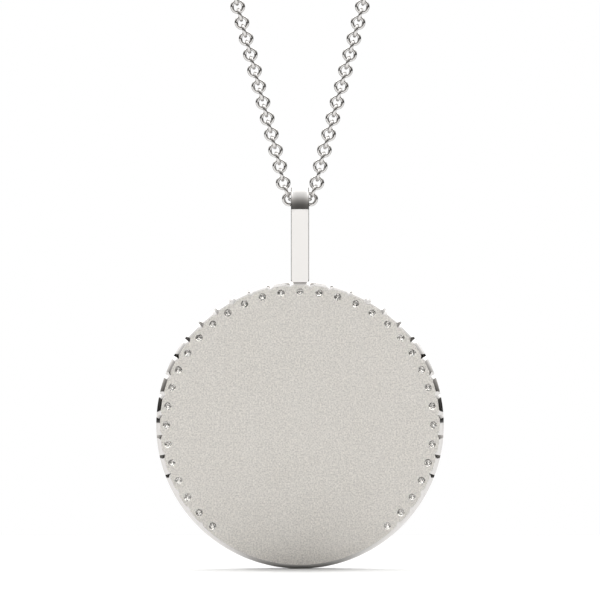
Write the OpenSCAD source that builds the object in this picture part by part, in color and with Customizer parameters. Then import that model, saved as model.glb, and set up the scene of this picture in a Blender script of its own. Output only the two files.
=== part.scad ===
// Round medallion pendant with stones along its rim, on a fine chain, in millimetres.
// The origin is the lowest point of the clasp, where the chain lies on the nape of the neck.
// The satin back of the disc faces -Y, its stones face +Y, and +Z is up.

/* [Disc] */
// Diameter of the disc
disc_d = 22; // [21:0.5:26]
// Thickness of the disc
disc_t = 0.9; // [0.86:0.02:1.2]
// Width of the polished 45 degree bevel round the back edge
bevel_w = 0.3; // [0.26:0.01:0.32]
// Width of the small bevel round the front edge
front_bevel_w = 0.08; // [0.04:0.01:0.12]

/* [Stones] */
// Diameter of a stone
stone_d = 1.3; // [1.1:0.02:1.3]
// Equal stations round the rim
stations = 44; // [40:1:44]
// Stations that hold a stone, the middle one at the top
stone_count = 35; // [21:2:37]
// Metal left between a stone and the outside of the rim
rim_wall = 0.14; // [0.12:0.01:0.2]
// Diameter of the hole behind each stone
back_hole_d = 0.56; // [0.4:0.02:0.7]
// Depth of a stone's girdle below the front face
set_depth = 0.13; // [0.1:0.01:0.14]
// Diameter of a bead of metal that holds the stones
bead_d = 0.38; // [0.3:0.01:0.38]

/* [Notches] */
// Length of a filed notch, from its tip to the outside of the rim
notch_len = 0.45; // [0.42:0.01:0.48]
// Width of a notch where it leaves the satin face
notch_w = 0.63; // [0.5:0.01:0.7]
// Slope of a notch's valley below the satin face
notch_tilt = 42; // [38:0.5:46]

/* [Bail] */
// Width of the strap
bail_w = 1.38; // [1.2:0.02:1.46]
// Thickness of the strap
bail_t = 0.4; // [0.36:0.01:0.44]
// Height of the top of the bail above the centre of the disc
bail_rise = 18.24; // [17.5:0.02:19]
// Depth of the bail from front to back
bail_depth = 3.36; // [3.2:0.02:3.6]
// Thickness of the foot of the bail, inside the rim
bail_foot_t = 0.34; // [0.3:0.02:0.8]

/* [Chain] */
// Length of the whole loop, clasp included
chain_len = 457; // [400:1:610]
// Outside diameter of a link
chain_d = 1.1; // [0.9:0.05:1.1]
// Lean of each side of the loop from the vertical
chain_lean = 14.75; // [13:0.25:16]
// Radius of the chain's turn inside the bail, along its middle
turn_r = 1.05; // [1.05:0.01:1.1]
// Diameter of the chain's core where it turns inside the bail
core_d = 0.48; // [0.4:0.02:0.48]

/* [Clasp] */
// Outside diameter of the clasp's ring
clasp_d = 5.5; // [5:0.1:7]
// Thickness of the clasp's ring
clasp_wire = 0.9; // [0.8:0.05:1.1]
// Outside diameter of the eye on each side of the ring
eye_d = 1.7; // [1.6:0.05:2]
// Thickness of an eye's wire
eye_wire = 0.4; // [0.36:0.02:0.44]

/* [Hidden] */

// How far a cutter runs past the face that it opens
cut_over = 0.5;

disc_r = disc_d / 2;
half_t = disc_t / 2;
satin_r = disc_r - bevel_w;

// A stone's proportions, as parts of its diameter, and the steepness of its back
table_part = 0.56;
star_part = 0.78;
lower_half_part = 0.22;
crown_part = 0.16;
girdle_part = 0.03;
pavilion_angle = 40.75;
stone_r = stone_d / 2;
crown_h = crown_part * stone_d;
girdle_h = girdle_part * stone_d;
pavilion_h = stone_r * tan(pavilion_angle);

seat_r = stone_r + 0.03;
hole_r = back_hole_d / 2;
seat_floor = set_depth + girdle_h;
hole_top = seat_floor + (seat_r - hole_r) * tan(pavilion_angle);
stone_circle_r = disc_r - rim_wall - stone_r;
station_angle = 360 / stations;
last_station = (stone_count - 1) / 2;
bead_offset = 0.37;

notch_at_edge = notch_len - bevel_w;
notch_spread = atan(notch_w / 2 / notch_at_edge / sin(notch_tilt));
notch_reach = 1;

bail_r = bail_depth / 2;
bail_c = bail_rise - bail_r;
bail_foot_drop = bail_c - disc_r + 0.25;
bail_slope = leg_slope(bail_r, bail_foot_t / 2, bail_foot_drop);
bail_in_r = bail_r - bail_t;
// The hollow of the bail ends in a flat this wide, between the two legs
hollow_end_w = 0.1;
hollow_drop = (bail_in_r - hollow_end_w / 2 * cos(bail_slope)) / sin(bail_slope);

// Heights above the centre of the disc: the middle of the chain's turn in the bail, then of its wide round top
turn_z = bail_rise - bail_t;
turn_to_top = (chain_len - 2 * PI * turn_r) / (2 * cos(chain_lean) + sin(chain_lean) * rad(180 + 2 * chain_lean));
top_z = turn_z + turn_to_top;
top_r = turn_r + turn_to_top * sin(chain_lean);
side_a = 90 + chain_lean;
// The chain keeps its core's diameter to the first distance above the turn, and has its own from the second
core_end = 0.9;
core_grown = 1.9;
tube_sides = 8;
top_steps = 22;
turn_steps = 12;

eye_lap = 0.3;
eye_x = clasp_d / 2 + eye_d / 2 - eye_lap;
chain_end_x = eye_x + eye_d / 2 + 0.05;
chain_end_a = asin(chain_end_x / top_r);
clasp_z = clasp_wire / 2;
disc_z = clasp_z - top_z - top_r * cos(chain_end_a);

$fn = 64;

function rad(a) = a * PI / 180;

function stone_name(i) = str("stone_", i < 10 ? "0" : "", i);

// Lean of a straight leg that touches a circle and ends at half the foot's thickness, a drop below its centre
function leg_slope(r, foot, drop) = asin(r / norm([foot, drop])) - atan2(foot, drop);

function ring(r, z, n, turn) = [for (i = [0:n - 1]) let (a = 360 * i / n + turn) [r * cos(a), r * sin(a), z]];

function reversed(list) = [for (i = [len(list) - 1:-1:0]) list[i]];

// Sets its children at a station of the rim, counted clockwise from the top as the back is seen
module at_station(k, r) {
    rotate([0, 0, -k * station_angle]) translate([0, r, 0]) children();
}

// Stands up a shape made flat, so that its upper side is the disc's satin back
module at_disc() {
    translate([0, 0, disc_z]) rotate([90, 0, 0]) children();
}

module disc_blank() {
    rotate_extrude($fn = 180) polygon([
        [0, -half_t],
        [disc_r - front_bevel_w, -half_t],
        [disc_r, -half_t + front_bevel_w],
        [disc_r, half_t - bevel_w],
        [satin_r, half_t],
        [0, half_t]
    ]);
}

// The space round one stone, open at the front and bored through to the back
module stone_seat() {
    rotate_extrude() polygon([
        [0, -half_t - cut_over],
        [seat_r, -half_t - cut_over],
        [seat_r, -half_t + seat_floor],
        [hole_r, -half_t + hole_top],
        [hole_r, half_t + cut_over],
        [0, half_t + cut_over]
    ]);
}

// A wide V cut whose valley starts at its tip on the satin face and runs out through the bevel
module notch() {
    wall = notch_reach * [sin(notch_spread), cos(notch_spread)];
    translate([0, -notch_len, half_t])
        rotate([90 - notch_tilt, 0, 0])
            translate([0, 0, -notch_reach])
                linear_extrude(height = 2 * notch_reach)
                    polygon([[0, 0], [wall.x, wall.y], [-wall.x, wall.y]]);
}

module bead_pair() {
    for (side = [-1, 1])
        translate([0, side * bead_offset, -half_t]) sphere(d = bead_d, $fn = 32);
}

// Outline of a drop: a round top, and straight legs that lean in to a flat end at a drop below its centre
module drop_outline(r, drop) {
    leg = r * [cos(bail_slope), -sin(bail_slope)];
    foot = (r - drop * sin(bail_slope)) / cos(bail_slope);
    circle(r = r, $fn = 96);
    polygon([[leg.x, leg.y], [-leg.x, leg.y], [-foot, -drop], [foot, -drop]]);
}

module bail() {
    translate([-bail_w / 2, 0, disc_z + bail_c])
        rotate([90, 0, 90])
            linear_extrude(height = bail_w)
                difference() {
                    drop_outline(bail_r, bail_foot_drop);
                    drop_outline(bail_in_r, hollow_drop);
                }
}

module notched_disc() {
    difference() {
        disc_blank();
        for (k = [0.5 - last_station:last_station - 0.5])
            at_station(k, disc_r) notch();
    }
}

module disc_with_bail() {
    color("silver") union() {
        difference() {
            union() {
                at_disc() notched_disc();
                bail();
            }
            at_disc() for (k = [-last_station:last_station])
                at_station(k, stone_circle_r) stone_seat();
        }
        at_disc() for (k = [-last_station - 0.5:last_station + 0.5])
            at_station(k, stone_circle_r) bead_pair();
    }
}

// A round brilliant cut with its table up, its girdle's upper edge at height 0
module brilliant() {
    table_r = table_part * stone_r;
    star_r = star_part * stone_r;
    lower_half_r = lower_half_part * stone_r;
    star_h = crown_h * (stone_r - star_r * cos(22.5)) / (stone_r - table_r);
    lower_half_h = pavilion_h * (1 - lower_half_r / stone_r * cos(22.5));
    points = concat(
        ring(table_r, crown_h, 8, 0),
        ring(star_r, star_h, 8, 22.5),
        ring(stone_r, 0, 16, 0),
        ring(stone_r, -girdle_h, 16, 0),
        ring(lower_half_r, -girdle_h - lower_half_h, 8, 22.5),
        [[0, 0, -girdle_h - pavilion_h]]
    );
    star = 8;
    upper = 16;
    lower = 32;
    half = 48;
    culet = 56;
    faces = concat(
        [[for (i = [0:7]) i]],
        [for (i = [0:7]) [i, star + i, (i + 1) % 8]],
        [for (i = [0:7]) [i, star + (i + 7) % 8, upper + 2 * i, star + i]],
        [for (i = [0:7]) [star + i, upper + 2 * i, upper + 2 * i + 1]],
        [for (i = [0:7]) [star + i, upper + 2 * i + 1, upper + (2 * i + 2) % 16]],
        [for (i = [0:15]) [upper + i, lower + i, lower + (i + 1) % 16, upper + (i + 1) % 16]],
        [for (i = [0:7]) [half + i, lower + 2 * i + 1, lower + 2 * i]],
        [for (i = [0:7]) [half + i, lower + (2 * i + 2) % 16, lower + 2 * i + 1]],
        [for (i = [0:7]) [culet, half + i, lower + 2 * i, half + (i + 7) % 8]]
    );
    polyhedron(points, [for (face = faces) reversed(face)]);
}

module stone(i) {
    color("aliceblue")
        at_disc()
            at_station(i - 1 - last_station, stone_circle_r)
                translate([0, 0, -half_t + set_depth]) rotate([180, 0, 0]) brilliant();
}

// A stop on the chain's way: the angle of its outward side from the vertical, its place and the tube's radius
function stop_on(circle_z, circle_r, a, tube_r) = [a, circle_r * sin(a), circle_z + circle_r * cos(a), tube_r];

function stop_above_turn(a, distance, tube_r) =
    let (turn = stop_on(turn_z, turn_r, a, tube_r), side = a < 180 ? 1 : -1)
        [a, turn[1] + side * distance * sin(chain_lean), turn[2] + distance * cos(chain_lean), tube_r];

function chain_stops() = concat(
    [for (i = [0:top_steps]) stop_on(top_z, top_r, chain_end_a + (side_a - chain_end_a) * i / top_steps, chain_d / 2)],
    [stop_above_turn(side_a, core_grown, chain_d / 2), stop_above_turn(side_a, core_end, core_d / 2)],
    [for (i = [0:turn_steps]) stop_on(turn_z, turn_r, side_a + (360 - 2 * side_a) * i / turn_steps, core_d / 2)],
    [stop_above_turn(360 - side_a, core_end, core_d / 2), stop_above_turn(360 - side_a, core_grown, chain_d / 2)],
    [for (i = [top_steps:-1:0])
        stop_on(top_z, top_r, 360 - chain_end_a - (side_a - chain_end_a) * i / top_steps, chain_d / 2)]
);

function stop_ring(stop) = [
    for (i = [0:tube_sides - 1])
        let (turn = 360 * (i + 0.5) / tube_sides, out = stop[3] * cos(turn))
            [stop[1] + out * sin(stop[0]), stop[3] * sin(turn), stop[2] + out * cos(stop[0])]
];

module chain() {
    stops = chain_stops();
    last = len(stops) - 1;
    points = [for (stop = stops) each stop_ring(stop)];
    walls = [
        for (s = [0:last - 1], i = [0:tube_sides - 1])
            let (next = (i + 1) % tube_sides, here = s * tube_sides, beyond = here + tube_sides)
                [here + i, here + next, beyond + next, beyond + i]
    ];
    first_end = [for (i = [tube_sides - 1:-1:0]) i];
    last_end = [for (i = [0:tube_sides - 1]) last * tube_sides + i];
    color("gainsboro") translate([0, 0, disc_z]) polyhedron(points, concat(walls, [first_end, last_end]));
}

module clasp() {
    color("gainsboro") translate([0, 0, clasp_z]) {
        rotate_extrude() translate([(clasp_d - clasp_wire) / 2, 0]) circle(d = clasp_wire);
        for (side = [-1, 1])
            translate([side * eye_x, 0, 0])
                rotate_extrude() translate([(eye_d - eye_wire) / 2, 0]) circle(d = eye_wire);
    }
}

disc_with_bail();
chain();
clasp();
for (i = [1:stone_count]) stone(i);
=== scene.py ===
"""Looks of the diamond medallion on its chain: metals, stones, real links, floor, light and camera.

Lengths are in millimetres, and become metres when a mesh is made. Names that end in _M are in metres.
"""

import math

import bpy
from mathutils import Matrix, Vector


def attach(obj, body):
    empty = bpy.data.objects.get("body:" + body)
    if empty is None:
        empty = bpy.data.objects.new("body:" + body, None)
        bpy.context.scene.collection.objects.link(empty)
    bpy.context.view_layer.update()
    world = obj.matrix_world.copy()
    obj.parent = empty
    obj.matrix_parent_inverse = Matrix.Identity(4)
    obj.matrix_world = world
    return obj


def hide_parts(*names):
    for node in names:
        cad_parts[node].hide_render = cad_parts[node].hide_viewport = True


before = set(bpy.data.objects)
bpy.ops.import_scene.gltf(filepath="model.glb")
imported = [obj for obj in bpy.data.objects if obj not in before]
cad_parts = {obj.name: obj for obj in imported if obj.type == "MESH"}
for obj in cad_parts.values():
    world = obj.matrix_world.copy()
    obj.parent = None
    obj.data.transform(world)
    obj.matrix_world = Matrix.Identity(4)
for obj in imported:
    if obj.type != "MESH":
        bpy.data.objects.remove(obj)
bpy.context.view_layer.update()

MM = 0.001

# The medallion: the solid's own measures, and slight swells that only show in polished metal
DISC_Z = -215.4565
DISC_R = 11.0
HALF_T = 0.45
RIM_SIDES = 704
BEVEL_W = 0.3
BEVEL_SWELL = math.radians(9)
FRONT_BEVEL_W = 0.08
SATIN_R = DISC_R - BEVEL_W
SWELL_STEPS = 6

STATION_ANGLE = math.radians(360 / 44)
LAST_STATION = 17
STONE_R = 0.65
STONE_GAP = 0.03
RIM_WALL = 0.14
STONE_CIRCLE_R = DISC_R - RIM_WALL - STONE_R
SEAT_R = STONE_R + STONE_GAP
SEAT_FLOOR = 0.169
SEAT_SLOPE = math.radians(40.75)
SEAT_SIDES = 64
HOLE_R = 0.28
HOLE_TOP = SEAT_FLOOR + (SEAT_R - HOLE_R) * math.tan(SEAT_SLOPE)
CUT_OVER = 0.5
BEAD_R = 0.19
BEAD_OFFSET = 0.37

NOTCH_LEN = 0.45
NOTCH_W = 0.63
NOTCH_TILT = math.radians(42)
NOTCH_SWELL = math.radians(9)
NOTCH_REACH = 1.4

# Cosine and distance within which a face counts as lying on the back or on the front
FLAT_COSINE = 0.999
FLAT_SLACK = 0.002

# The bail, a drop of flat strap, with heights above the middle of the disc
BAIL_W = 1.38
BAIL_T = 0.4
BAIL_R = 1.68
BAIL_TOP = 18.24
BAIL_C = BAIL_TOP - BAIL_R
BAIL_SUNK = 0.25
BAIL_FOOT = 0.17
BAIL_FOOT_DROP = BAIL_C - DISC_R + BAIL_SUNK
BAIL_EDGE_W = 0.09
BAIL_EDGE_DEPTH = 0.19
BAIL_EDGE_STEPS = 8
BAIL_CROWN = 0.02
BAIL_CROWN_STEPS = 8
BAIL_ARC_STEPS = 72
BAIL_LEG_STEPS = 12
HOLLOW_END = 0.05

# The chain: the outside and the wire of a link, and the middles of links as (x, height above the disc's)
LINK_D = 1.13
LINK_WIRE = 0.26
LINK_PITCH = 0.631
TURN_LINKS = [
    (0, 16.82),
    (0.4075, 17.055),
    (0.815, 17.29),
    (1.05, 17.9075),
    (1.285, 18.525),
    (1.415, 19.1625),
]
SIDE_FOOT = (1.545, 19.8)
TOP_R = 41.0751
TOP_Z = -40.4098
TOP_C = TOP_Z - DISC_Z
SIDE_A = math.radians(104.75)
CHAIN_END_X = 4.07
CHAIN_END_A = math.asin(CHAIN_END_X / TOP_R)

# How many links each way from the lowest one are fine, and the steps round a link and round its wire
FINE_LINKS = 70
FINE_LINK_STEPS = (20, 10)
FAR_LINK_STEPS = (12, 6)

# The clasp: its hoop, the eyes at its sides, the bands of its gate and the knob on its stem
CLASP_Z = 0.45
CLASP_R = 2.3
CLASP_WIRE_R = 0.45
EYE_X = 3.3
EYE_R = 0.65
EYE_WIRE_R = 0.2
BAND_WIRE_R = 0.045
BAND_DEGREES = (35, 62, 118, 145)
KNOB_DEGREES = -48
KNOB_R = 0.2
KNOB_RISE = 0.26
STEM = [(0.13, 0), (0.13, 0.3), (0.11, 0.34)]
STEM_SUNK = 0.06


# Mesh helpers


def object_from(name, mesh):
    made = bpy.data.objects.new(name, mesh)
    bpy.context.scene.collection.objects.link(made)
    return made


def mesh_from(name, points, faces):
    mesh = bpy.data.meshes.new(name)
    mesh.from_pydata(points, [], faces)
    return mesh


def finished_mesh(item):
    """A plain mesh of an object with its modifiers done."""
    return bpy.data.meshes.new_from_object(item.evaluated_get(bpy.context.evaluated_depsgraph_get()))


def between(first, second, share):
    """The point at a share of the way from one point to another."""
    return tuple(a + (b - a) * share for a, b in zip(first, second))


def band(here, beyond, sides):
    """Faces between two closed rows of points, whose first points are numbered here and beyond."""
    faces = []
    for i in range(sides):
        j = (i + 1) % sides
        faces.append((here + i, here + j, beyond + j, beyond + i))
    return faces


def turned_shape(profile, sides):
    """Points and faces of (radius, height) pairs turned about Z, with a flat face at each end."""
    points = []
    for radius, height in profile:
        for i in range(sides):
            a = 2 * math.pi * i / sides
            points.append((radius * math.cos(a), radius * math.sin(a), height))
    faces = []
    for row in range(len(profile) - 1):
        faces += band(row * sides, (row + 1) * sides, sides)
    faces.append(tuple(reversed(range(sides))))
    faces.append(tuple((len(profile) - 1) * sides + i for i in range(sides)))
    return points, faces


def ring_shape(big_r, wire_r, steps, sides):
    """Points and faces of a closed round ring of round wire, lying flat."""
    points = []
    for s in range(steps):
        a = 2 * math.pi * s / steps
        for i in range(sides):
            b = 2 * math.pi * i / sides
            out = big_r + wire_r * math.cos(b)
            points.append((out * math.cos(a), out * math.sin(a), wire_r * math.sin(b)))
    faces = []
    for s in range(steps):
        here, beyond = s * sides, (s + 1) % steps * sides
        for i in range(sides):
            j = (i + 1) % sides
            faces.append((here + i, beyond + i, beyond + j, here + j))
    return points, faces


def ball_shape(radius, rows, sides):
    """Points and faces of a ball whose poles are closed."""
    points = [(0, 0, -radius)]
    for row in range(1, rows):
        a = math.pi * row / rows - math.pi / 2
        row_r, height = radius * math.cos(a), radius * math.sin(a)
        for i in range(sides):
            b = 2 * math.pi * i / sides
            points.append((row_r * math.cos(b), row_r * math.sin(b), height))
    points.append((0, 0, radius))
    faces = [(0, 1 + (i + 1) % sides, 1 + i) for i in range(sides)]
    for row in range(rows - 2):
        faces += band(1 + row * sides, 1 + (row + 1) * sides, sides)
    last, top = 1 + (rows - 2) * sides, len(points) - 1
    faces.extend((top, last + i, last + (i + 1) % sides) for i in range(sides))
    return points, faces


def add_shape(shape, points, faces, place):
    """Adds points, moved by a matrix, and their faces to a shape, which is a list of each."""
    start = len(shape[0])
    shape[0].extend(tuple(place @ Vector(p)) for p in points)
    shape[1].extend(tuple(start + i for i in face) for face in faces)


def smooth_sides(mesh, degrees):
    """Smooth shading, with every edge that turns more than so many degrees kept sharp."""
    mesh.polygons.foreach_set("use_smooth", [True] * len(mesh.polygons))
    mesh.set_sharp_from_angle(angle=math.radians(degrees))
    mesh.update()


# Medallion


def at_station(k, radius):
    """Place of a station on the flat disc, counted clockwise from the top as the back is seen."""
    return Matrix.Rotation(-k * STATION_ANGLE, 4, "Z") @ Matrix.Translation((0, radius, 0))


def half_stations(last):
    """The places half way between neighbouring stations, up to so many on each side of the top."""
    return [i + 0.5 for i in range(-last, last)]


def back_bevel():
    """Profile of the bevel round the back edge, swelled a little between its outer and inner edge."""
    middle = math.pi / 4
    swell_r = BEVEL_W / math.sqrt(2) / math.sin(BEVEL_SWELL)
    profile = []
    for i in range(SWELL_STEPS + 1):
        a = middle + BEVEL_SWELL * (1 - 2 * i / SWELL_STEPS)
        out = swell_r * (math.sin(a) - math.sin(middle - BEVEL_SWELL))
        up = swell_r * (math.cos(a) - math.cos(middle - BEVEL_SWELL))
        profile.append((SATIN_R + out, HALF_T + up))
    return profile


def notch_shape():
    """Points and faces of a V cutter. From its tip at 0 its valley runs out, and ever more steeply down."""
    half_angle = math.atan(NOTCH_W / 2 / (NOTCH_LEN - BEVEL_W))
    wall_x, wall_y = NOTCH_REACH * math.sin(half_angle), NOTCH_REACH * math.cos(half_angle)
    run = NOTCH_LEN / SWELL_STEPS
    tilts = [NOTCH_TILT + NOTCH_SWELL * (2 * i / SWELL_STEPS - 1) for i in range(SWELL_STEPS + 1)]
    valley = [(-NOTCH_LEN, NOTCH_LEN * math.tan(tilts[0])), (0, 0)]
    for i in range(SWELL_STEPS):
        y, z = valley[-1]
        valley.append((y + run, z - run * math.tan((tilts[i] + tilts[i + 1]) / 2)))
    y, z = valley[-1]
    valley.append((y + NOTCH_LEN, z - NOTCH_LEN * math.tan(tilts[-1])))
    points = []
    for y, z in valley:
        points += [(0, y, z), (wall_x, y + wall_y, z), (-wall_x, y + wall_y, z)]
    faces = [(0, 1, 2)]
    last = 3 * len(valley) - 3
    for row in range(0, last, 3):
        for i, j in ((0, 1), (1, 2), (2, 0)):
            faces.append((row + i, row + 3 + i, row + 3 + j, row + j))
    faces.append((last, last + 2, last + 1))
    return points, faces


def cut_disc():
    """The disc as a mesh, lying flat with its satin back up, with its notches and stone seats cut."""
    blank = [(DISC_R - FRONT_BEVEL_W, -HALF_T), (DISC_R, -HALF_T + FRONT_BEVEL_W)] + back_bevel()
    disc = object_from("blank", mesh_from("blank", *turned_shape(blank, RIM_SIDES)))
    cuts = ([], [])
    seat_profile = [
        (SEAT_R, -HALF_T - CUT_OVER),
        (SEAT_R, -HALF_T + SEAT_FLOOR),
        (HOLE_R, -HALF_T + HOLE_TOP),
        (HOLE_R, HALF_T + CUT_OVER),
    ]
    seat = turned_shape(seat_profile, SEAT_SIDES)
    for k in range(-LAST_STATION, LAST_STATION + 1):
        add_shape(cuts, *seat, at_station(k, STONE_CIRCLE_R))
    notch = notch_shape()
    tip = Matrix.Translation((0, -NOTCH_LEN, HALF_T))
    for k in half_stations(LAST_STATION):
        add_shape(cuts, *notch, at_station(k, DISC_R) @ tip)
    cutter = object_from("cuts", mesh_from("cuts", *cuts))
    cut = disc.modifiers.new("cut", "BOOLEAN")
    cut.operation = "DIFFERENCE"
    cut.solver = "EXACT"
    cut.object = cutter
    mesh = finished_mesh(disc)
    bpy.data.objects.remove(disc)
    bpy.data.objects.remove(cutter)
    return mesh


def drop_outline(radius, slope, foot, drop):
    """Points of a drop from foot to foot, as (across, up) from its middle, and the way out at each."""
    points, ways = [], []
    for i in range(BAIL_ARC_STEPS + 1):
        a = -slope + (math.pi + 2 * slope) * i / BAIL_ARC_STEPS
        points.append((radius * math.cos(a), radius * math.sin(a)))
        ways.append((math.cos(a), math.sin(a)))
    leg = [between((foot, -drop), points[0], i / BAIL_LEG_STEPS) for i in range(BAIL_LEG_STEPS)]
    points = leg + points + [(-y, z) for y, z in reversed(leg)]
    ways = [ways[0]] * BAIL_LEG_STEPS + ways + [ways[-1]] * BAIL_LEG_STEPS
    return points, ways


def bail_slope():
    """How far each leg of the bail leans from upright."""
    reach = math.hypot(BAIL_FOOT, BAIL_FOOT_DROP)
    return math.asin(BAIL_R / reach) - math.atan2(BAIL_FOOT, BAIL_FOOT_DROP)


def edge_turns():
    """A quarter of the strap's rounded edge, as (sideways, down) from where it leaves the strap's flat."""
    turns = [(0, 0)]
    for i in range(1, BAIL_EDGE_STEPS):
        a = math.atan(BAIL_EDGE_W / BAIL_EDGE_DEPTH * math.tan(math.pi / 2 * i / BAIL_EDGE_STEPS))
        turns.append((BAIL_EDGE_W * math.sin(a), BAIL_EDGE_DEPTH * (math.cos(a) - 1)))
    turns.append((BAIL_EDGE_W, -BAIL_EDGE_DEPTH))
    return turns


def strap_section(across, hollow, outward, inward):
    """One cross section of the strap: rounded edges, and a low crown on the outside."""
    flat = BAIL_W / 2 - BAIL_EDGE_W
    turns = edge_turns()
    section = [(-flat - side, across, outward, down) for side, down in reversed(turns)]
    for i in range(1, BAIL_CROWN_STEPS):
        x = -flat + 2 * flat * i / BAIL_CROWN_STEPS
        section.append((x, across, outward, BAIL_CROWN * (1 - (x / flat) ** 2)))
    section += [(flat + side, across, outward, down) for side, down in turns]
    section += [(flat + side, hollow, inward, down) for side, down in reversed(turns)]
    section += [(-flat - side, hollow, inward, down) for side, down in turns]
    return [(x, p[0] + way[0] * rise, p[1] + way[1] * rise) for x, p, way, rise in section]


def bail_shape():
    """Points and faces of the bail, standing above the middle of the disc."""
    slope = bail_slope()
    hollow_r = BAIL_R - BAIL_T
    hollow_drop = (hollow_r - HOLLOW_END * math.cos(slope)) / math.sin(slope)
    outer, out_ways = drop_outline(BAIL_R, slope, BAIL_FOOT, BAIL_FOOT_DROP)
    inner, in_ways = drop_outline(hollow_r, slope, HOLLOW_END, hollow_drop)
    rows = [
        strap_section(o, i, way, (-back[0], -back[1]))
        for o, i, way, back in zip(outer, inner, out_ways, in_ways)
    ]
    sides = len(rows[0])
    points = [(x, y, z + BAIL_C) for row in rows for x, y, z in row]
    faces = []
    for r in range(len(rows)):
        faces += band(r * sides, (r + 1) % len(rows) * sides, sides)
    return points, faces


def lies_on(face, side):
    """Whether a face lies flat on the medallion's back, which is side -1, or on its front, side 1."""
    return side * face.normal.y > FLAT_COSINE and abs(face.center.y / MM - side * HALF_T) < FLAT_SLACK


def make_medallion(satin, bright, front):
    """The casting: disc, beads and bail in one mesh, in its place."""
    disc = cut_disc()
    stand = Matrix.Translation((0, 0, DISC_Z)) @ Matrix.Rotation(math.pi / 2, 4, "X")
    disc.transform(stand)
    shape = ([tuple(v.co) for v in disc.vertices], [tuple(f.vertices) for f in disc.polygons])
    bead = ball_shape(BEAD_R, rows=12, sides=24)
    for k in half_stations(LAST_STATION + 1):
        for side in (-1, 1):
            place = at_station(k, STONE_CIRCLE_R) @ Matrix.Translation((0, side * BEAD_OFFSET, -HALF_T))
            add_shape(shape, *bead, stand @ place)
    add_shape(shape, *bail_shape(), Matrix.Translation((0, 0, DISC_Z)))
    mesh = mesh_from("medallion", *shape)
    mesh.transform(Matrix.Scale(MM, 4))
    bpy.data.meshes.remove(disc)
    metals = [satin, bright, front]
    for metal in metals:
        mesh.materials.append(metal)
    for face in mesh.polygons:
        if lies_on(face, -1):
            face.material_index = metals.index(satin)
        elif lies_on(face, 1):
            face.material_index = metals.index(front)
        else:
            face.material_index = metals.index(bright)
    smooth_sides(mesh, degrees=17)
    return object_from("medallion", mesh)


# Node helpers


def set_inputs(tree, node, inputs):
    """Gives each input of a node a value, or joins it to the output that is given for it."""
    for name, value in inputs.items():
        if isinstance(value, bpy.types.NodeSocket):
            tree.links.new(value, node.inputs[name])
        else:
            node.inputs[name].default_value = value


def new_node(tree, kind, inputs=None, operation=None):
    node = tree.nodes.new(kind)
    if operation:
        node.operation = operation
    set_inputs(tree, node, inputs or {})
    return node


# Chain


def link_middles():
    """Middles of the links from one end of the chain to the other, (x, z) from the middle of the disc."""
    joint = (TOP_R * math.sin(SIDE_A), TOP_C + TOP_R * math.cos(SIDE_A))
    side = math.dist(SIDE_FOOT, joint)
    arc = TOP_R * (SIDE_A - CHAIN_END_A)
    count = 2 * round((side + arc) / LINK_PITCH / 2)
    right = list(TURN_LINKS)
    for i in range(count + 1):
        way = (side + arc) * i / count
        if way <= side:
            right.append(between(SIDE_FOOT, joint, way / side))
        else:
            a = SIDE_A - (way - side) / TOP_R
            right.append((TOP_R * math.sin(a), TOP_C + TOP_R * math.cos(a)))
    left = [(-x, z) for x, z in right[1:]]
    return list(reversed(right)) + left


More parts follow.
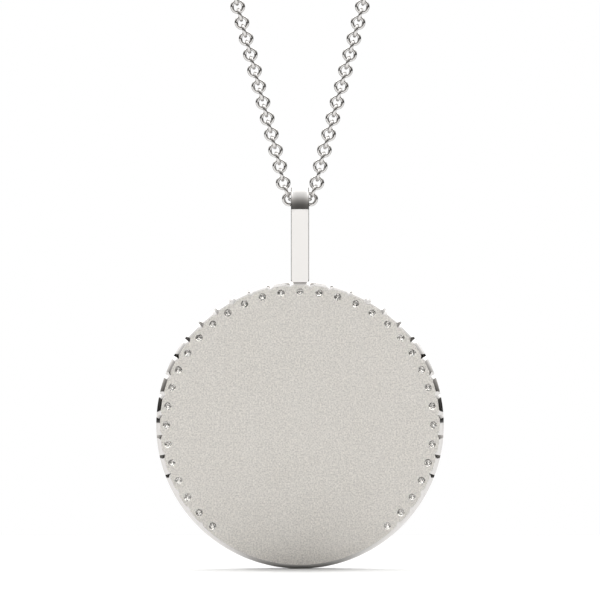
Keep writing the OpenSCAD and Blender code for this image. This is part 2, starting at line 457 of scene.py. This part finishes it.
def link_tree():
    """A node tree that puts a round link at each point of a line, every second one turned a quarter."""
    tree = bpy.data.node_groups.new("links along a line", "GeometryNodeTree")
    for name, kind in (
        ("Line", "NodeSocketGeometry"),
        ("Link radius", "NodeSocketFloat"),
        ("Wire radius", "NodeSocketFloat"),
        ("Middle link", "NodeSocketInt"),
        ("Fine links", "NodeSocketInt"),
        ("Metal", "NodeSocketMaterial"),
    ):
        tree.interface.new_socket(name, in_out="INPUT", socket_type=kind)
    tree.interface.new_socket("Links", in_out="OUTPUT", socket_type="NodeSocketGeometry")
    given = new_node(tree, "NodeGroupInput").outputs

    points = tree.nodes.new("GeometryNodeCurveToPoints")
    points.mode = "EVALUATED"
    set_inputs(tree, points, {"Curve": given["Line"]})
    tangent = points.outputs["Tangent"]
    index = new_node(tree, "GeometryNodeInputIndex").outputs[0]

    odd = new_node(tree, "FunctionNodeIntegerMath", {0: index, 1: 2}, "MODULO")
    across = new_node(tree, "ShaderNodeVectorMath", {0: tangent, 1: (0, 1, 0)}, "CROSS_PRODUCT")
    facing = tree.nodes.new("GeometryNodeSwitch")
    facing.input_type = "VECTOR"
    set_inputs(tree, facing, {"Switch": odd.outputs[0], "False": (0, -1, 0), "True": across.outputs[0]})
    turn = tree.nodes.new("FunctionNodeAxesToRotation")
    turn.primary_axis = "X"
    turn.secondary_axis = "Z"
    set_inputs(tree, turn, {"Primary Axis": tangent, "Secondary Axis": facing.outputs[0]})

    from_middle = new_node(tree, "FunctionNodeIntegerMath", {0: index, 1: given["Middle link"]}, "SUBTRACT")
    far = new_node(tree, "FunctionNodeIntegerMath", {0: from_middle.outputs[0]}, "ABSOLUTE")
    is_fine = tree.nodes.new("FunctionNodeCompare")
    is_fine.data_type = "INT"
    is_fine.operation = "LESS_EQUAL"
    set_inputs(tree, is_fine, {2: far.outputs[0], 3: given["Fine links"]})
    is_far = new_node(tree, "FunctionNodeBooleanMath", {0: is_fine.outputs[0]}, "NOT")

    both = tree.nodes.new("GeometryNodeJoinGeometry")
    for chosen, (steps, sides) in ((is_fine, FINE_LINK_STEPS), (is_far, FAR_LINK_STEPS)):
        round_link = {"Resolution": steps, "Radius": given["Link radius"]}
        round_wire = {"Resolution": sides, "Radius": given["Wire radius"]}
        ring = new_node(tree, "GeometryNodeCurvePrimitiveCircle", round_link).outputs["Curve"]
        wire = new_node(tree, "GeometryNodeCurvePrimitiveCircle", round_wire).outputs["Curve"]
        link = new_node(tree, "GeometryNodeCurveToMesh", {"Curve": ring, "Profile Curve": wire})
        smooth = new_node(tree, "GeometryNodeSetShadeSmooth", {0: link.outputs[0]})
        what = {
            "Points": points.outputs["Points"],
            "Selection": chosen.outputs[0],
            "Instance": smooth.outputs[0],
            "Rotation": turn.outputs[0],
        }
        placed = new_node(tree, "GeometryNodeInstanceOnPoints", what)
        tree.links.new(placed.outputs[0], both.inputs[0])

    real = new_node(tree, "GeometryNodeRealizeInstances", {0: both.outputs[0]})
    coat = {"Geometry": real.outputs[0], "Material": given["Metal"]}
    coated = new_node(tree, "GeometryNodeSetMaterial", coat)
    new_node(tree, "NodeGroupOutput", {0: coated.outputs[0]})
    return tree


def make_links(metal):
    """The links as one mesh, laid along the line of the chain."""
    middles = link_middles()
    curve = bpy.data.curves.new("chain line", "CURVE")
    curve.dimensions = "3D"
    line = curve.splines.new("POLY")
    line.points.add(len(middles) - 1)
    for point, (x, z) in zip(line.points, middles):
        point.co = (x * MM, 0, (z + DISC_Z) * MM, 1)
    carrier = object_from("chain_line", curve)
    tree = link_tree()
    sizes = {
        "Link radius": (LINK_D - LINK_WIRE) / 2 * MM,
        "Wire radius": LINK_WIRE / 2 * MM,
        "Middle link": len(middles) // 2,
        "Fine links": FINE_LINKS,
        "Metal": metal,
    }
    links = carrier.modifiers.new("links", "NODES")
    links.node_group = tree
    for socket in tree.interface.items_tree:
        if socket.in_out == "INPUT" and socket.name in sizes:
            links[socket.identifier] = sizes[socket.name]
    mesh = finished_mesh(carrier)
    carrier.modifiers.remove(links)
    bpy.data.objects.remove(carrier)
    mesh.name = "chain_links"
    return object_from("chain_links", mesh)


# Clasp


def make_clasp(metal):
    """A spring ring: hoop, gate bands and thumb knob, with an eye on each side for the chain's ends."""
    shape = ([], [])
    middle = Matrix.Translation((0, 0, CLASP_Z))
    add_shape(shape, *ring_shape(CLASP_R, CLASP_WIRE_R, steps=128, sides=28), middle)
    eye = ring_shape(EYE_R, EYE_WIRE_R, steps=64, sides=18)
    for side in (-1, 1):
        add_shape(shape, *eye, middle @ Matrix.Translation((side * EYE_X, 0, 0)))
    gate_band = ring_shape(CLASP_WIRE_R, BAND_WIRE_R, steps=48, sides=10)
    for degrees in BAND_DEGREES:
        place = Matrix.Rotation(math.radians(degrees), 4, "Z") @ Matrix.Translation((CLASP_R, 0, 0))
        place = place @ Matrix.Rotation(math.pi / 2, 4, "X")
        add_shape(shape, *gate_band, middle @ place)
    side_way = middle @ Matrix.Rotation(math.radians(KNOB_DEGREES), 4, "Z")
    outside = CLASP_R + CLASP_WIRE_R
    stem_foot = side_way @ Matrix.Translation((outside - STEM_SUNK, 0, 0))
    add_shape(shape, *turned_shape(STEM, sides=24), stem_foot @ Matrix.Rotation(math.pi / 2, 4, "Y"))
    knob_place = side_way @ Matrix.Translation((outside + KNOB_RISE, 0, 0))
    add_shape(shape, *ball_shape(KNOB_R, rows=12, sides=24), knob_place)
    mesh = mesh_from("spring_ring", *shape)
    mesh.transform(Matrix.Scale(MM, 4))
    mesh.materials.append(metal)
    smooth_sides(mesh, degrees=40)
    return object_from("spring_ring", mesh)


# Materials

GOLD_TINT = (1, 0.976, 0.953)


def new_material(name):
    material = bpy.data.materials.new(name)
    material.use_nodes = True
    return material, material.node_tree, material.node_tree.nodes["Principled BSDF"]


def own_place(tree):
    return new_node(tree, "ShaderNodeTexCoord").outputs["Object"]


def maths(tree, operation, *values):
    return new_node(tree, "ShaderNodeMath", dict(enumerate(values)), operation).outputs[0]


def vector_maths(tree, operation, *values):
    return new_node(tree, "ShaderNodeVectorMath", dict(enumerate(values)), operation).outputs[0]


def noise_over(tree, per_metre, detail, stretch=(1, 1, 1)):
    """A noise pattern on the object's own coordinates, so many features to the metre."""
    size = new_node(tree, "ShaderNodeMapping", {"Vector": own_place(tree), "Scale": stretch})
    pattern = {"Vector": size.outputs["Vector"], "Scale": per_metre, "Detail": detail}
    return new_node(tree, "ShaderNodeTexNoise", pattern).outputs["Fac"]


def ranged(tree, value, start, end, low=0, high=1, ease="LINEAR"):
    """A value that runs from low to high while another runs from start to end."""
    spread = tree.nodes.new("ShaderNodeMapRange")
    spread.interpolation_type = ease
    span = {"Value": value, "From Min": start, "From Max": end, "To Min": low, "To Max": high}
    set_inputs(tree, spread, span)
    return spread.outputs["Result"]


def from_noise(tree, noise, low, high):
    """A noise pattern's usual span, widened to run from low to high."""
    return ranged(tree, noise, 0.3, 0.7, low, high)


def mixed(tree, share, first, second):
    """A colour between two, each of which is red, green and blue or an output."""
    mix = tree.nodes.new("ShaderNodeMix")
    mix.data_type = "RGBA"
    ends = [end if isinstance(end, bpy.types.NodeSocket) else (*end, 1) for end in (first, second)]
    set_inputs(tree, mix, {"Factor": share, "A": ends[0], "B": ends[1]})
    return mix.outputs["Result"]


def bumped(tree, height, strength, distance_m):
    relief = {"Height": height, "Strength": strength, "Distance": distance_m}
    return new_node(tree, "ShaderNodeBump", relief).outputs["Normal"]


def satin_metal():
    """White gold blasted to a fine frosted grain."""
    material, tree, shader = new_material("satin white gold")
    grain = noise_over(tree, per_metre=8600, detail=3)
    cloud = noise_over(tree, per_metre=420, detail=2)
    tone = from_noise(tree, grain, 0, 1)
    looks = {
        "Base Color": mixed(tree, tone, (0.7, 0.68, 0.647), (0.995, 0.967, 0.919)),
        "Roughness": from_noise(tree, cloud, 0.61, 0.67),
        "Normal": bumped(tree, grain, strength=0.25, distance_m=0.00002),
        "Metallic": 1,
    }
    set_inputs(tree, shader, looks)
    return material


def bright_metal(name, roughness, level):
    """White gold polished to a mirror, with the faint haze and hairlines that polishing leaves."""
    material, tree, shader = new_material(name)
    haze = noise_over(tree, per_metre=900, detail=3)
    hairline = noise_over(tree, per_metre=2600, detail=2, stretch=(1, 1, 0.12))
    dim, light = [tuple(tone * part for part in GOLD_TINT) for tone in (level, level * 1.04)]
    looks = {
        "Base Color": mixed(tree, haze, dim, light),
        "Roughness": from_noise(tree, hairline, roughness * 0.7, roughness * 1.3),
        "Metallic": 1,
    }
    set_inputs(tree, shader, looks)
    return material


def front_metal():
    """The front face, polished less than the rim, with very fine lines left by the wheel."""
    material, tree, shader = new_material("brushed white gold")
    line = noise_over(tree, per_metre=3600, detail=2, stretch=(0.06, 1, 1))
    looks = {
        "Base Color": mixed(tree, line, (0.63, 0.615, 0.6), (0.66, 0.645, 0.63)),
        "Roughness": from_noise(tree, line, 0.16, 0.26),
        "Normal": bumped(tree, line, strength=0.2, distance_m=0.00001),
        "Metallic": 1,
    }
    set_inputs(tree, shader, looks)
    return material


def stone_glass():
    """Clear stone with nearly the strong bend of light of a diamond, and small uneven facets."""
    material, tree, shader = new_material("clear stone")
    cloud = noise_over(tree, per_metre=1500, detail=2)
    cells = new_node(tree, "ShaderNodeTexVoronoi", {"Vector": own_place(tree), "Scale": 6500})
    looks = {
        "Base Color": mixed(tree, cloud, (0.92, 0.9, 0.86), (0.97, 0.95, 0.91)),
        "Roughness": from_noise(tree, cloud, 0.03, 0.06),
        "Normal": bumped(tree, cells.outputs["Distance"], strength=1, distance_m=0.00003),
        "IOR": 2.36,
        "Transmission Weight": 1,
    }
    set_inputs(tree, shader, looks)
    return material


def floor_paper():
    """White paper, greyed beside and behind the pendant as painted shade, with a painted contact shadow, a
    soft dark spot, under its foot.
    """
    material, tree, shader = new_material("white paper")
    fibre = noise_over(tree, per_metre=60, detail=3)
    place = own_place(tree)
    parts = new_node(tree, "ShaderNodeSeparateXYZ", {0: place}).outputs
    sideways = maths(tree, "ABSOLUTE", parts["X"])
    # Distance from the pendant's foot, squeezed sideways: where the painted contact shadow falls
    flat = vector_maths(tree, "MULTIPLY", place, (1.5, 1, 0))
    away = new_node(tree, "ShaderNodeVectorMath", {0: flat}, "LENGTH").outputs["Value"]
    tone = mixed(tree, fibre, (0.9, 0.9, 0.9), (0.92, 0.92, 0.92))
    # Painted shade greys the paper beside and behind the pendant, and a painted shadow darkens it round the
    # foot
    for way, start_m, end_m, painted_shade in (
        (sideways, 0.01, 0.025, 0.81),
        (parts["Y"], -0.01, 0.012, 0.76),
        # The painted contact shadow under the pendant's foot
        (away, 0.0078, 0, 0.5),
    ):
        tone = mixed(tree, ranged(tree, way, start_m, end_m), tone, (painted_shade, painted_shade, painted_shade))
    set_inputs(tree, shader, {"Base Color": tone, "Roughness": 0.9, "Specular IOR Level": 0.1})
    return material


# Studio

# A colour ramp holds no level above 1, so the room is drawn this many times too dim
DIMMED = 4

# Levels of the room as (place, level). OVER_TOP runs from the front horizon over the top to the rear one.
# BESIDE is a factor from the middle to the sides, and REAR one from the rear horizon upwards.
OVER_TOP = [
    (0.0, 0.11),
    (0.018, 0.115),
    (0.062, 0.12),
    (0.121, 0.15),
    (0.181, 0.24),
    (0.243, 0.365),
    (0.307, 0.57),
    (0.375, 0.84),
    (0.449, 1.03),
    (0.53, 1.27),
    (0.575, 1.6),
    (0.9, 1.6),
    (0.97, 0.8),
]
BESIDE = [
    (0.0, 1.0),
    (0.05, 1.0),
    (0.12, 1.3),
    (0.66, 1.3),
    (0.755, 1.17),
    (0.82, 1.0),
    (0.88, 0.8),
    (0.91, 0.68),
    (0.935, 0.5),
    (0.96, 0.32),
    (0.99, 0.08),
]
REAR = [(0.0, 0.04), (0.1, 0.13), (0.15, 0.3), (0.27, 0.8), (0.4, 1.0)]
FLOOR_LEVEL = 0.1

# How much green and blue a level loses where it is dark
DARK_GREEN_LOSS = 0.03
DARK_BLUE_LOSS = 0.07

# Two softboxes, high on the left and on the right, a little behind the plane of the medallion
BOX_RISE = math.radians(56)
BOX_BACK = 0.2
BOX_LEVEL = 1.8
BOX_INNER = math.radians(12)
BOX_OUTER = math.radians(24)

FLOOR_R_M = 0.6
REAR_EDGE_M = [(0.6, 0.3), (0.1, 0.06), (-0.1, 0.06), (-0.6, 0.3)]

CAMERA_DISTANCE_M = 1.2
CAMERA_RISE = math.radians(1.5)
CAMERA_AIM_M = (0, 0, -0.2059)
PICTURE_WIDTH_M = 0.0459
SENSOR_WIDTH = 36


def level_ramp(tree, place, stops):
    """A dimmed level that follows (place, level) stops, and is warmer where it is dark."""
    ramp = new_node(tree, "ShaderNodeValToRGB", {0: place})
    marks = ramp.color_ramp.elements
    while len(marks) < len(stops):
        marks.new(0.5)
    for mark, (position, _) in zip(marks, stops):
        mark.position = position
    for mark, (_, level) in zip(marks, stops):
        warmth = max(0, 1 - level)
        dim = level / DIMMED
        mark.color = (dim, dim * (1 - DARK_GREEN_LOSS * warmth), dim * (1 - DARK_BLUE_LOSS * warmth), 1)
    return ramp.outputs[0]


def undimmed(tree, level):
    return new_node(tree, "ShaderNodeVectorMath", {0: level, "Scale": DIMMED}, "SCALE").outputs[0]


def studio_world():
    """The room that metal reflects, white with a dark horizon, and pure white behind the object."""
    world = bpy.data.worlds.new("studio")
    bpy.context.scene.world = world
    world.use_nodes = True
    tree = world.node_tree
    place = new_node(tree, "ShaderNodeTexCoord").outputs["Generated"]
    parts = new_node(tree, "ShaderNodeSeparateXYZ", {0: place}).outputs
    sideways = maths(tree, "ABSOLUTE", parts["X"])

    over = maths(tree, "ARCTAN2", parts["Z"], maths(tree, "MULTIPLY", parts["Y"], -1))
    over_top = level_ramp(tree, ranged(tree, over, 0, math.pi), OVER_TOP)
    beside = level_ramp(tree, sideways, BESIDE)
    upper = undimmed(tree, vector_maths(tree, "MULTIPLY", over_top, beside))

    # The rear wall is dark low down, except in the middle, and dark further up the deeper it lies
    sunk = ranged(tree, parts["Y"], 0.3, 0.6, 0, 0.2, "SMOOTHSTEP")
    rear = level_ramp(tree, maths(tree, "SUBTRACT", parts["Z"], sunk), REAR)
    darker = vector_maths(tree, "MULTIPLY", upper, undimmed(tree, rear))
    off_middle = ranged(tree, sideways, 0.15, 0.35, ease="SMOOTHSTEP")
    behind = ranged(tree, parts["Y"], 0, 0.1)
    sky = mixed(tree, maths(tree, "MULTIPLY", off_middle, behind), upper, darker)

    dim_floor = FLOOR_LEVEL / DIMMED
    below = maths(tree, "LESS_THAN", parts["Z"], 0)
    room = mixed(tree, below, sky, (dim_floor, dim_floor, dim_floor))

    # Both softboxes are drawn as one, because sideways is the same on the left and on the right
    folded = {"X": sideways, "Y": parts["Y"], "Z": parts["Z"]}
    way = new_node(tree, "ShaderNodeCombineXYZ", folded).outputs[0]
    box_way = Vector((math.cos(BOX_RISE), BOX_BACK, math.sin(BOX_RISE))).normalized()
    near_box = new_node(tree, "ShaderNodeVectorMath", {0: way, 1: box_way}, "DOT_PRODUCT").outputs["Value"]
    outer, inner = math.cos(BOX_OUTER), math.cos(BOX_INNER)
    box = ranged(tree, near_box, outer, inner, 0, BOX_LEVEL / DIMMED, "SMOOTHSTEP")
    lit = vector_maths(tree, "ADD", room, box)

    studio = tree.nodes["Background"]
    set_inputs(tree, studio, {"Color": lit, "Strength": DIMMED})
    white = new_node(tree, "ShaderNodeBackground", {"Color": (1, 1, 1, 1), "Strength": 1})
    seen = new_node(tree, "ShaderNodeLightPath").outputs["Is Camera Ray"]
    chosen = new_node(tree, "ShaderNodeMixShader", {0: seen, 1: studio.outputs[0], 2: white.outputs[0]})
    set_inputs(tree, tree.nodes["World Output"], {"Surface": chosen.outputs[0]})


def make_floor(material):
    """A half round sheet in front of and beside the pendant, which ends a little way behind it."""
    level = (DISC_Z - DISC_R) * MM
    edge = []
    for degrees in range(180, 361, 4):
        a = math.radians(degrees)
        edge.append((FLOOR_R_M * math.cos(a), FLOOR_R_M * math.sin(a), level))
    edge += [(x, y, level) for x, y in REAR_EDGE_M]
    floor = object_from("floor", mesh_from("floor", edge, [tuple(range(len(edge)))]))
    floor.data.materials.append(material)
    return floor


def make_camera():
    """A long lens, nearly level with the pendant."""
    data = bpy.data.cameras.new("camera")
    camera = object_from("camera", data)
    away = Vector((0, -math.cos(CAMERA_RISE), math.sin(CAMERA_RISE)))
    camera.location = Vector(CAMERA_AIM_M) + away * CAMERA_DISTANCE_M
    camera.rotation_euler = (-away).to_track_quat("-Z", "Y").to_euler()
    data.sensor_width = SENSOR_WIDTH
    data.lens = CAMERA_DISTANCE_M * SENSOR_WIDTH / PICTURE_WIDTH_M
    data.clip_start, data.clip_end = 0.05, 50
    bpy.context.scene.camera = camera


satin = satin_metal()
bright = bright_metal("polished white gold", roughness=0.05, level=0.63)
front = front_metal()
# The chain and clasp take a darker copy of the polished white gold, as painted shade for the shade among
# the links
chain_metal = bright_metal("polished chain metal with painted shade", roughness=0.03, level=0.59)
clear = stone_glass()

medallion = make_medallion(satin, bright, front)
links = make_links(chain_metal)
clasp = make_clasp(chain_metal)
for piece, body, node, slot in (
    (medallion, "pendant", "disc_with_bail", "casting"),
    (links, "necklace", "chain", "chain_metal"),
    (clasp, "necklace", "clasp", "chain_metal"),
):
    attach(piece, body)
    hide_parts(node)

for name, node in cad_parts.items():
    if name.startswith("stone_"):
        node.data.materials.clear()
        node.data.materials.append(clear)

floor = make_floor(floor_paper())
studio_world()
make_camera()
bpy.context.scene.view_settings.view_transform = "Standard"
